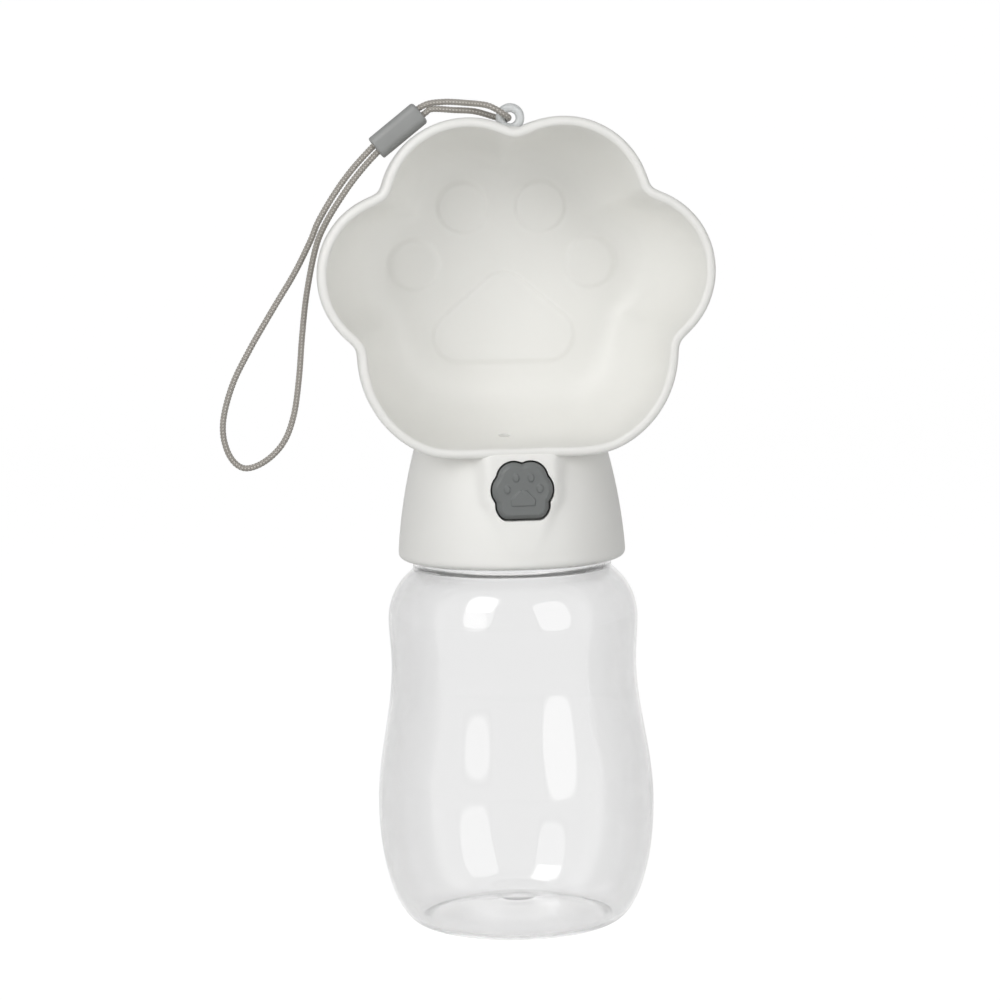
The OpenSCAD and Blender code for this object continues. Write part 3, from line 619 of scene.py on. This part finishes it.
# ---- Cap screws ------------------------------------------------------------------------------
# Three small steel screws with round heads and a round socket come up through the cap's plate and
# the ears of the valve chamber into bosses in the collar.
cap_bottom, screw_ring = neck_top + 1.5, 17.5
steel = Finish("bright_steel")
brush = steel.noise(400.0, 3.0)
steel.set(Base_Color=steel.blend(brush, (0.52, 0.52, 0.53), (0.66, 0.66, 0.67)), Metallic=1.0,
          Roughness=0.26 + brush * 0.16)
screw_profile = [(0.9, 0.55), (1.0, 0.1), (1.9, 0.12), (2.5, 0.5), (2.7, 1.1), (2.7, 1.6), (1.25, 1.62),
                 (1.25, 12.2), (0.7, 12.7)]
screw = skin("screw_pattern", lathe(screw_profile, 32), steel, start=(0, 0, 0.55), end=(0, 0, 12.9))
screw_tree, given, result = start_tree("screws_on_a_ring", Count="Int", Ring="Float", Height="Float",
                                       Screw="Object", Finish="Material")
nodes, link = screw_tree.nodes, screw_tree.links.new
ring, moved, pattern, spread, solid, painted = (nodes.new("GeometryNode" + kind) for kind in (
    "MeshCircle", "Transform", "ObjectInfo", "InstanceOnPoints", "RealizeInstances", "SetMaterial"))
lift = nodes.new("ShaderNodeCombineXYZ")
link(given.outputs["Count"], ring.inputs["Vertices"])
link(given.outputs["Ring"], ring.inputs["Radius"])
link(given.outputs["Height"], lift.inputs["Z"])
moved.inputs["Rotation"].default_value = (0, 0, math.pi / 2)
link(lift.outputs[0], moved.inputs["Translation"])
link(ring.outputs[0], moved.inputs["Geometry"])
link(given.outputs["Screw"], pattern.inputs["Object"])
link(moved.outputs[0], spread.inputs["Points"])
link(pattern.outputs["Geometry"], spread.inputs["Instance"])
link(spread.outputs[0], solid.inputs[0])
link(solid.outputs[0], painted.inputs["Geometry"])
link(given.outputs["Finish"], painted.inputs["Material"])
link(painted.outputs[0], result.inputs[0])
screws = grow("steel_cap_screws", screw_tree, Count=3, Ring=screw_ring * MM, Height=(cap_bottom - 1.65) * MM,
              Screw=screw, Finish=steel.owner)
bpy.data.objects.remove(screw)
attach(screws, "head")
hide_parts("cap_screws")

# ---- Springs ---------------------------------------------------------------------------------
# Two springs of round steel wire with five turns each. The upright one closes the valve, and the
# other one brings the button back.
plate_top = cap_bottom + 1.6
chamber_foot = plate_top + 0.6
paw_z = chamber_foot + 8.2
rod_height = paw_z + 1.9
stem_head = rod_height - 3.8
gland_y, button_back = -15.0, -21.5
spring_gap = 0.35


def spring(name, place, radius, room):
    """A spring that fills the given room, with its wire just clear of both ends."""
    return grow(name, helix, place, Turns=5.0, Radius=radius * MM, Height=(room - 2 * spring_gap) * MM,
                Thickness=0.3 * MM, Steps=160, Sides=10, Finish=steel.owner)


onto_plate = Matrix.Translation((0, 0, (plate_top + spring_gap) * MM))
closing_spring = spring("valve_closing_spring", onto_plate, 2.6, stem_head - plate_top)
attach(closing_spring, "head")
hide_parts("valve_spring")
plate_top * MM
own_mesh(closing_spring)
onto_rod = Matrix.Translation((0, (gland_y - spring_gap) * MM, rod_height * MM))
onto_rod @= Matrix.Rotation(math.pi / 2, 4, "X")
return_spring = spring("button_return_spring", onto_rod, 3.2, gland_y - button_back)
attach(return_spring, "head")
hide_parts("button_spring")
rod_height * MM
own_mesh(return_spring)

# ---- Bowl and collar -------------------------------------------------------------------------
# The head's shell is one satin white moulding: a tapered collar with a rounded lower edge, a
# domed roof behind it, and the paw-shaped bowl, whose rim is rounded on both sides. A flat pad round
# the button runs up to the rim, and a paw stands in low relief on the bowl's floor.
rim_y, bowl_depth, rim_width, floor_thick, outer_round, relief_height, relief_step = (
    -27.0, 38.0, 2.5, 2.3, 1.4, 0.5, 1.2)
collar_z, collar_height, collar_radius, collar_wall, roof_height = bead_top + 0.3, 27.7, 30.1, 2.1, 20.8
collar_top = collar_z + collar_height
foot_z, foot_drop = collar_top + 0.9, 46.9
bowl_z = foot_z + foot_drop
lobes = [(s * x, z, r) for s in (-1, 1)
         for x, z, r in ((29.7, 0.6, 21.5), (12.1, 17.7, 22.75), (14.1, -20.1, 27.15))]
lobes.append((0, -20.1, 27.15))
bowl_sides = 352 if fine else 160
bearing = np.arange(bowl_sides) * 2 * np.pi / bowl_sides


def reach(a, rounds, foot, blur):
    """How far an outline of overlapping rounds with a flat foot reaches in each direction."""
    total = 0
    for x, z, r in rounds:
        along = x * np.cos(a) + z * np.sin(a)
        square = along * along - x * x - z * z + r * r
        far = np.maximum(along + np.sqrt(np.maximum(square, 0)), 0.1)
        total = total + np.where(square > 0, far, 0.1) ** blur
    far = total ** (1 / blur)
    flat = foot / np.maximum(-np.sin(a), 0.05)
    return (far ** -60.0 + flat ** -60.0) ** (-1 / 60)


def outline(a, far):
    """Points of an outline and its outward directions."""
    points = np.column_stack([far * np.cos(a), far * np.sin(a)])
    along = np.roll(points, -1, 0) - np.roll(points, 1, 0)
    return points, np.column_stack([along[:, 1], -along[:, 0]]) / np.linalg.norm(along, axis=1)[:, None]


rim_reach = reach(bearing, lobes, foot_drop, 40.0)
rim_points, rim_normals = outline(bearing, rim_reach)
floor_points = np.column_stack([np.cos(bearing), np.sin(bearing)]) * (12 + 0.32 * rim_reach)[:, None]


def bowl_ring(y, inset, extra, share):
    """A ring of the bowl, share 1 at the rim and 0 at the edge of the floor."""
    edge_points = rim_points - inset * rim_normals
    low = floor_points * (1 + extra / np.linalg.norm(floor_points, axis=1))[:, None]
    flat = low + (edge_points - low) * share
    return np.column_stack([flat[:, 0], np.full(len(flat), y), bowl_z + flat[:, 1]])


def bowl_wall(inset, extra, depth, first, count):
    """Rings of the bowl's wall, from just behind the rim to the floor."""
    start = math.asin((first / depth) ** 1.25)
    return [bowl_ring(rim_y + depth * math.sin(t) ** 0.8, inset, extra, max(math.cos(t), 0) ** 0.8)
            for t in start + (np.pi / 2 - start) * np.linspace(0, 1, count) ** 0.8]


toe_places = [(s * x, z, 6.6) for s in (-1, 1) for x, z in ((23.5, 2.0), (10.3, 17.0))]
pad_corners, pad_round = np.array([(0, -7.2), (11.8, -17.2), (-11.8, -17.2)]), 7.0


def polygon_distance(x, z, corners):
    """Distance of points from a polygon, below zero inside it."""
    best, inside_count = np.full(np.shape(x), 1e9), np.zeros(np.shape(x), int)
    for (ax, az), (bx, bz) in zip(corners, np.roll(corners, -1, 0)):
        ex, ez = bx - ax, bz - az
        t = np.clip(((x - ax) * ex + (z - az) * ez) / (ex * ex + ez * ez), 0, 1)
        best = np.minimum(best, np.hypot(x - ax - t * ex, z - az - t * ez))
        crosses = (az > z) != (bz > z)
        at = ax + (z - az) / (ez if ez else 1e-9) * ex
        inside_count += crosses & (x < at)
    return np.where(inside_count % 2 == 1, -best, best)


def swell(distance, width):
    """1 well inside an outline and 0 outside, with a soft step of the given width."""
    t = np.clip(0.5 - distance / width, 0, 1)
    return t * t * (3 - 2 * t)


def floor_relief(points):
    """How high the paw on the bowl's floor stands at each point."""
    x, z = points[:, 0], points[:, 2] - bowl_z
    height = swell(polygon_distance(x, z, pad_corners) - pad_round, relief_step)
    for tx, tz, r in toe_places:
        height = np.maximum(height, swell(np.hypot(x - tx, z - tz) - r, relief_step))
    return relief_height * height


quarter = np.linspace(0, np.pi / 2, 7)
outer_rings = [bowl_ring(rim_y + outer_round * (1 - math.sin(q)), outer_round * (1 - math.cos(q)), 0, 1)
               for q in quarter[::-1]]
outer_rings += bowl_wall(0, 2, bowl_depth + floor_thick, 2.2, 44 if fine else 20)
void_rings = [bowl_ring(rim_y - 1, rim_width - 1, 0, 1)]
void_rings += [bowl_ring(rim_y + 1 - math.cos(q), rim_width - 1 + math.sin(q), 0, 1) for q in quarter]
void_rings += bowl_wall(rim_width, 0, bowl_depth, 1.8, 52 if fine else 24)
floor_middle = np.array((0, rim_y + bowl_depth, bowl_z))
for share in np.linspace(1, 0.02, 46 if fine else 20)[1:]:
    void_rings.append(floor_middle + (bowl_ring(rim_y + bowl_depth, rim_width, 0, 0) - floor_middle) * share)
for ring in void_rings:
    ring[:, 1] -= floor_relief(ring) * (ring[:, 1] > rim_y + 8)

white_abs = Finish("white_shell")
tone = white_abs.noise(38.0, 2.0)
speck = white_abs.noise(1500.0, 2.0)
white_abs.set(Base_Color=white_abs.blend(tone, (0.852, 0.848, 0.818), (0.878, 0.874, 0.846)),
              Roughness=0.42 + tone * 0.10, Specular_IOR_Level=0.42)
white_abs.bump(speck, 0.000015, 0.3)


def shape(name, rings, **ends):
    """A closed solid of the shell's plastic."""
    return skin(name, rings, white_abs, **ends)


def collar_curve(z):
    """The collar's radius at a height above its lower edge's round."""
    return collar_radius - 0.069 * z - 0.0037 * z * z


def roof(r, z, h, count):
    """The profile of a dome of height h on a ring of radius r at height z."""
    t = np.arange(1, count + 1)[:, None] / (count + 0.4)
    a, b, c, d = (np.array(p) for p in ((r, z), (r - 1.3, z + 0.24 * h), (r - 5.9, z + 0.9 * h), (0, z + h)))
    return (a * (1 - t) ** 3 + 3 * b * t * (1 - t) ** 2 + 3 * c * t * t * (1 - t) + d * t ** 3).tolist()


inner_cap_radius = neck_radius + 0.5 + 1.1
lip_radius = inner_cap_radius + 0.9
heights = 1.1 + (collar_height - 3.2) * np.linspace(0, 1, 26)
collar_profile = soften([(2, collar_z), (lip_radius - 0.6, collar_z), (lip_radius + 0.6, collar_z),
                         (collar_radius - 1.35, collar_z + 0.22), (collar_radius - 0.4, collar_z + 0.75),
                         (collar_radius, collar_z + 1.7),
                         (collar_curve(heights[0]), collar_z + 2.1 + heights[0])], 0.25, 3)
collar_profile += [(collar_curve(z), collar_z + 2.1 + z) for z in heights[1:]]
collar_profile += roof(collar_curve(collar_height - 2.1), collar_top, roof_height, 26)
step_z = plate_top + 1.5
heights = step_z - collar_z - 2.1 + (collar_top - step_z) * np.linspace(0, 1, 12)
cavity_profile = [(inner_cap_radius + 0.3, collar_z - 1), (inner_cap_radius + 0.3, step_z)]
cavity_profile += [(collar_curve(z) - collar_wall, collar_z + 2.1 + z) for z in heights]
cavity_profile += roof(collar_curve(collar_height - 2.1) - collar_wall, collar_top, roof_height - 2, 14)
turns = 256 if fine else 96


def with_pad(rings):
    """Draws the collar's front out to a flat pad round the button, which fades at its sides and foot."""
    x, y, z = rings[..., 0], rings[..., 1], rings[..., 2]
    low, high = collar_z + 4.5, foot_z + 0.4
    climb = np.clip((z - low) / (high - low), 0, 1)
    side = np.logaddexp(0, (np.abs(x) - 3 - 5.7 * np.clip(climb * 1.8, 0, 1)) * 1.5) / 1.5
    face = 29.7 - 2.6 * climb - 0.9 * side - 0.12 * side ** 2 - 0.35 * np.clip(z - high, 0, None) ** 2
    swollen = (face - y + np.sqrt((face + y) ** 2 + 1)) / 2
    fade = np.clip((z - collar_z - 1.8) / 4, 0, 1)
    grown = rings.copy()
    grown[..., 1] = np.where(y < 0, y - (swollen + y) * fade * fade * (3 - 2 * fade), y)
    return grown


bowl_body = shape("bowl_and_collar", outer_rings, start=(0, rim_y, bowl_z),
                  end=(0, rim_y + bowl_depth + floor_thick, bowl_z))
bowl_again = bowl_body.copy()
bowl_again.data = bowl_body.data.copy()
scene.collection.objects.link(bowl_again)
bowl_void = shape("bowl_void", void_rings, start=(0, rim_y - 1, bowl_z), end=tuple(void_rings[-1].mean(0)))
collar_body = shape("collar_body", with_pad(lathe(collar_profile, turns)), start=(0, 0, collar_z),
                    end=(0, 0, collar_top + roof_height))
collar_void = shape("collar_void", lathe(cavity_profile, turns // 2), start=(0, 0, collar_z - 1),
                    end=(0, 0, collar_top + roof_height - 2))


def cut(piece, tool, operation):
    """Joins a tool to a piece or takes it away, and removes the tool."""
    modifier = piece.modifiers.new("cut", "BOOLEAN")
    modifier.operation, modifier.object, modifier.solver = operation, tool, "MANIFOLD"
    mesh = bpy.data.meshes.new_from_object(piece.evaluated_get(bpy.context.evaluated_depsgraph_get()))
    piece.modifiers.clear()
    piece.data = mesh
    bpy.data.objects.remove(tool)


def pin(name, radius, low, high, sides, middle=(0, 0, 0)):
    """An upright round bar of the shell's plastic, whose place is its middle in X and Y."""
    middle = np.array(middle, float)
    return shape(name, lathe([(radius, low), (radius, high)], sides) + middle, start=middle + (0, 0, low),
                 end=middle + (0, 0, high))


def ball_hull(name, balls):
    """The tight skin round some balls, as a closed mesh."""
    a, b = np.meshgrid(np.linspace(0, 2 * np.pi, 49)[:-1], np.linspace(-np.pi / 2, np.pi / 2, 25))
    unit = np.stack([np.cos(a) * np.cos(b), np.sin(a) * np.cos(b), np.sin(b)], -1).reshape(-1, 3)
    points = np.vstack([np.array(place) + r * unit for place, r in balls])
    work = bmesh.new()
    for p in points * MM:
        work.verts.new(p)
    bmesh.ops.remove_doubles(work, verts=work.verts[:], dist=1e-6)
    bmesh.ops.convex_hull(work, input=work.verts[:])
    bmesh.ops.delete(work, geom=[v for v in work.verts if not v.link_faces], context="VERTS")
    bmesh.ops.recalc_face_normals(work, faces=work.faces[:])
    mesh = bpy.data.meshes.new(name)
    work.to_mesh(mesh)
    work.free()
    mesh.materials.append(white_abs.owner)
    piece = bpy.data.objects.new(name, mesh)
    scene.collection.objects.link(piece)
    return piece


block = ball_hull("eyelet_block", [((eyelet_middle[0] + s * 4.2, eyelet_middle[1] + t * 2.2, z), 0.7)
                                   for s in (-1, 1) for t in (-1, 1)
                                   for z in (eyelet_middle[2] - 4.5, eyelet_middle[2] - 2.9)])
cut(bowl_body, collar_body, "UNION")
cut(bowl_body, block, "UNION")
# the collar's hollow ends at the bowl's back
cut(collar_void, bowl_again, "DIFFERENCE")
cut(bowl_body, collar_void, "DIFFERENCE")

paw_rounds = [(s * x, z, r) for s in (-1, 1)
              for x, z, r in ((3.16, 0.18, 5.14), (2.2, 3.1, 4.65), (2.9, -3.8, 4.3))]
paw_rounds.append((0, -3.8, 4.3))
paw_foot, paw_sides = 7.75, 256
paw_bearing = np.arange(paw_sides) * 2 * np.pi / paw_sides


def paw_outline(growth):
    """The button's paw in the X-Z plane, grown by the given amount, and its outward directions."""
    rounds = [(x, z, r + growth) for x, z, r in paw_rounds]
    return outline(paw_bearing, reach(paw_bearing, rounds, paw_foot + growth, 60.0))


def paw_prism(name, growth, y0, y1):
    """A straight bar with the button's outline."""
    flat, _ = paw_outline(growth)
    rings = [np.column_stack([flat[:, 0], np.full(paw_sides, y), paw_z + flat[:, 1]]) for y in (y0, y1)]
    return shape(name, rings, start=(0, y0, paw_z), end=(0, y1, paw_z))


# bosses for the three screws, which run up to the roof
flange_top = chamber_foot + 1.6
for turn_deg, boss_top in ((90, 134.5), (210, 128.2), (330, 128.2)):
    a = math.radians(turn_deg)
    boss_place = (screw_ring * math.cos(a), screw_ring * math.sin(a), 0)
    cut(bowl_body, pin("boss", 3, flange_top, boss_top, 32, boss_place), "UNION")
    cut(bowl_body, pin("drill", 1.35, flange_top - 1, flange_top + 7.4, 24, boss_place), "DIFFERENCE")

# the outlet's socket, the button's guide and hole, and the eyelet's pocket
spout = np.array((-2.2, -11 / 1.7, 0))
cut(bowl_body, pin("socket_post", 5.6, collar_top + 0.5, collar_top + 5.4, 48, spout), "UNION")
guide = paw_prism("button_guide", 1.6, rim_y + 0.9, rim_y + 4.5)
cut(guide, pin("guide_trim", 60, 90, paw_z - paw_foot - 0.3, 24), "DIFFERENCE")
cut(bowl_body, guide, "UNION")
cut(bowl_body, bowl_void, "DIFFERENCE")
cut(bowl_body, paw_prism("button_hole", 0.0, rim_y - 6, rim_y + 8), "DIFFERENCE")
outlet = shape("outlet", lathe([(4.1, collar_top - 1), (4.1, collar_top + 4.6), (1.5, collar_top + 4.61),
                                (1.5, collar_top + 14)], 48) + spout, start=spout + (0, 0, collar_top - 1),
               end=spout + (0, 0, collar_top + 14))
cut(bowl_body, outlet, "DIFFERENCE")
pocket_radius, pocket_half = eyelet_major + eyelet_bar + 0.25, eyelet_bar + 0.1
lay_flat = np.array([[1, 0, 0], [0, 0, 1], [0, -1, 0]])
pocket_rings = lathe([(pocket_radius, -pocket_half), (pocket_radius, pocket_half)], 64) @ lay_flat.T
pocket = shape("eyelet_pocket", pocket_rings + eyelet_middle, start=eyelet_middle - (0, pocket_half, 0),
               end=eyelet_middle + (0, pocket_half, 0))
cut(bowl_body, pocket, "DIFFERENCE")
bowl_body.data.shade_smooth()
bowl_body.data.set_sharp_from_angle(angle=math.radians(32))
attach(bowl_body, "head")
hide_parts("bowl_housing")

# ---- Button ----------------------------------------------------------------------------------
# A grey paw-shaped push button of satin plastic with a flat foot and a wide bevel, and four toes and
# a pad raised on its face. Its back carries the rod of the wedge.
face_y, bevel, gap, mark_height, mark_step = rim_y - 2.2, 1.15, 0.45, 0.42, 0.4
paw_flat, paw_normals = paw_outline(-gap)
button_rings = []
for y, inset in ((button_back, 0.35), (button_back - 0.3, 0.0), (face_y + 1.35, 0.0), (face_y + 1.15, 0.03),
                 (face_y + 0.95, 0.14), (face_y + 0.2, bevel - 0.25), (face_y + 0.06, bevel - 0.06)):
    flat = paw_flat - inset * paw_normals
    button_rings.append(np.column_stack([flat[:, 0], np.full(paw_sides, y), flat[:, 1]]))
toe_marks = [(-4.1, 0.55), (-1.8, 3.5), (2.1, 3.45), (4.35, 0.6)]
pad_mark = np.array([(-0.7, -0.2), (0.7, -0.2), (2.7, -2.3), (2.6, -3.4), (-2.6, -3.4), (-2.7, -2.3)])
for share in np.linspace(1, 0.06, 70):
    flat = (paw_flat - bevel * paw_normals) * share
    height = swell(polygon_distance(flat[:, 0], flat[:, 1], pad_mark) - 0.4, mark_step)
    for tx, tz in toe_marks:
        oval = np.hypot((flat[:, 0] - tx) / 0.75, (flat[:, 1] - tz) / 1.05) - 1
        height = np.maximum(height, swell(oval * 0.85, mark_step))
    button_rings.append(np.column_stack([flat[:, 0], face_y - mark_height * height, flat[:, 1]]))
button_rings = np.array(button_rings) + (0, 0, paw_z)
grey_button = Finish("grey_button")
grain = grey_button.noise(2400.0, 2.0)
patch = grey_button.noise(150.0, 2.0)
grey_button.set(Base_Color=grey_button.blend(patch, (0.158, 0.166, 0.164), (0.178, 0.187, 0.184)),
                Roughness=0.30 + grain * 0.12)
grey_button.bump(grain, 0.00002, 0.5)
button = skin("paw_button", button_rings, grey_button, start=(0, button_back, paw_z),
              end=(0, face_y, paw_z))
button.data.set_sharp_from_angle(angle=math.radians(60))
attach(button, "button")
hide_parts("button")
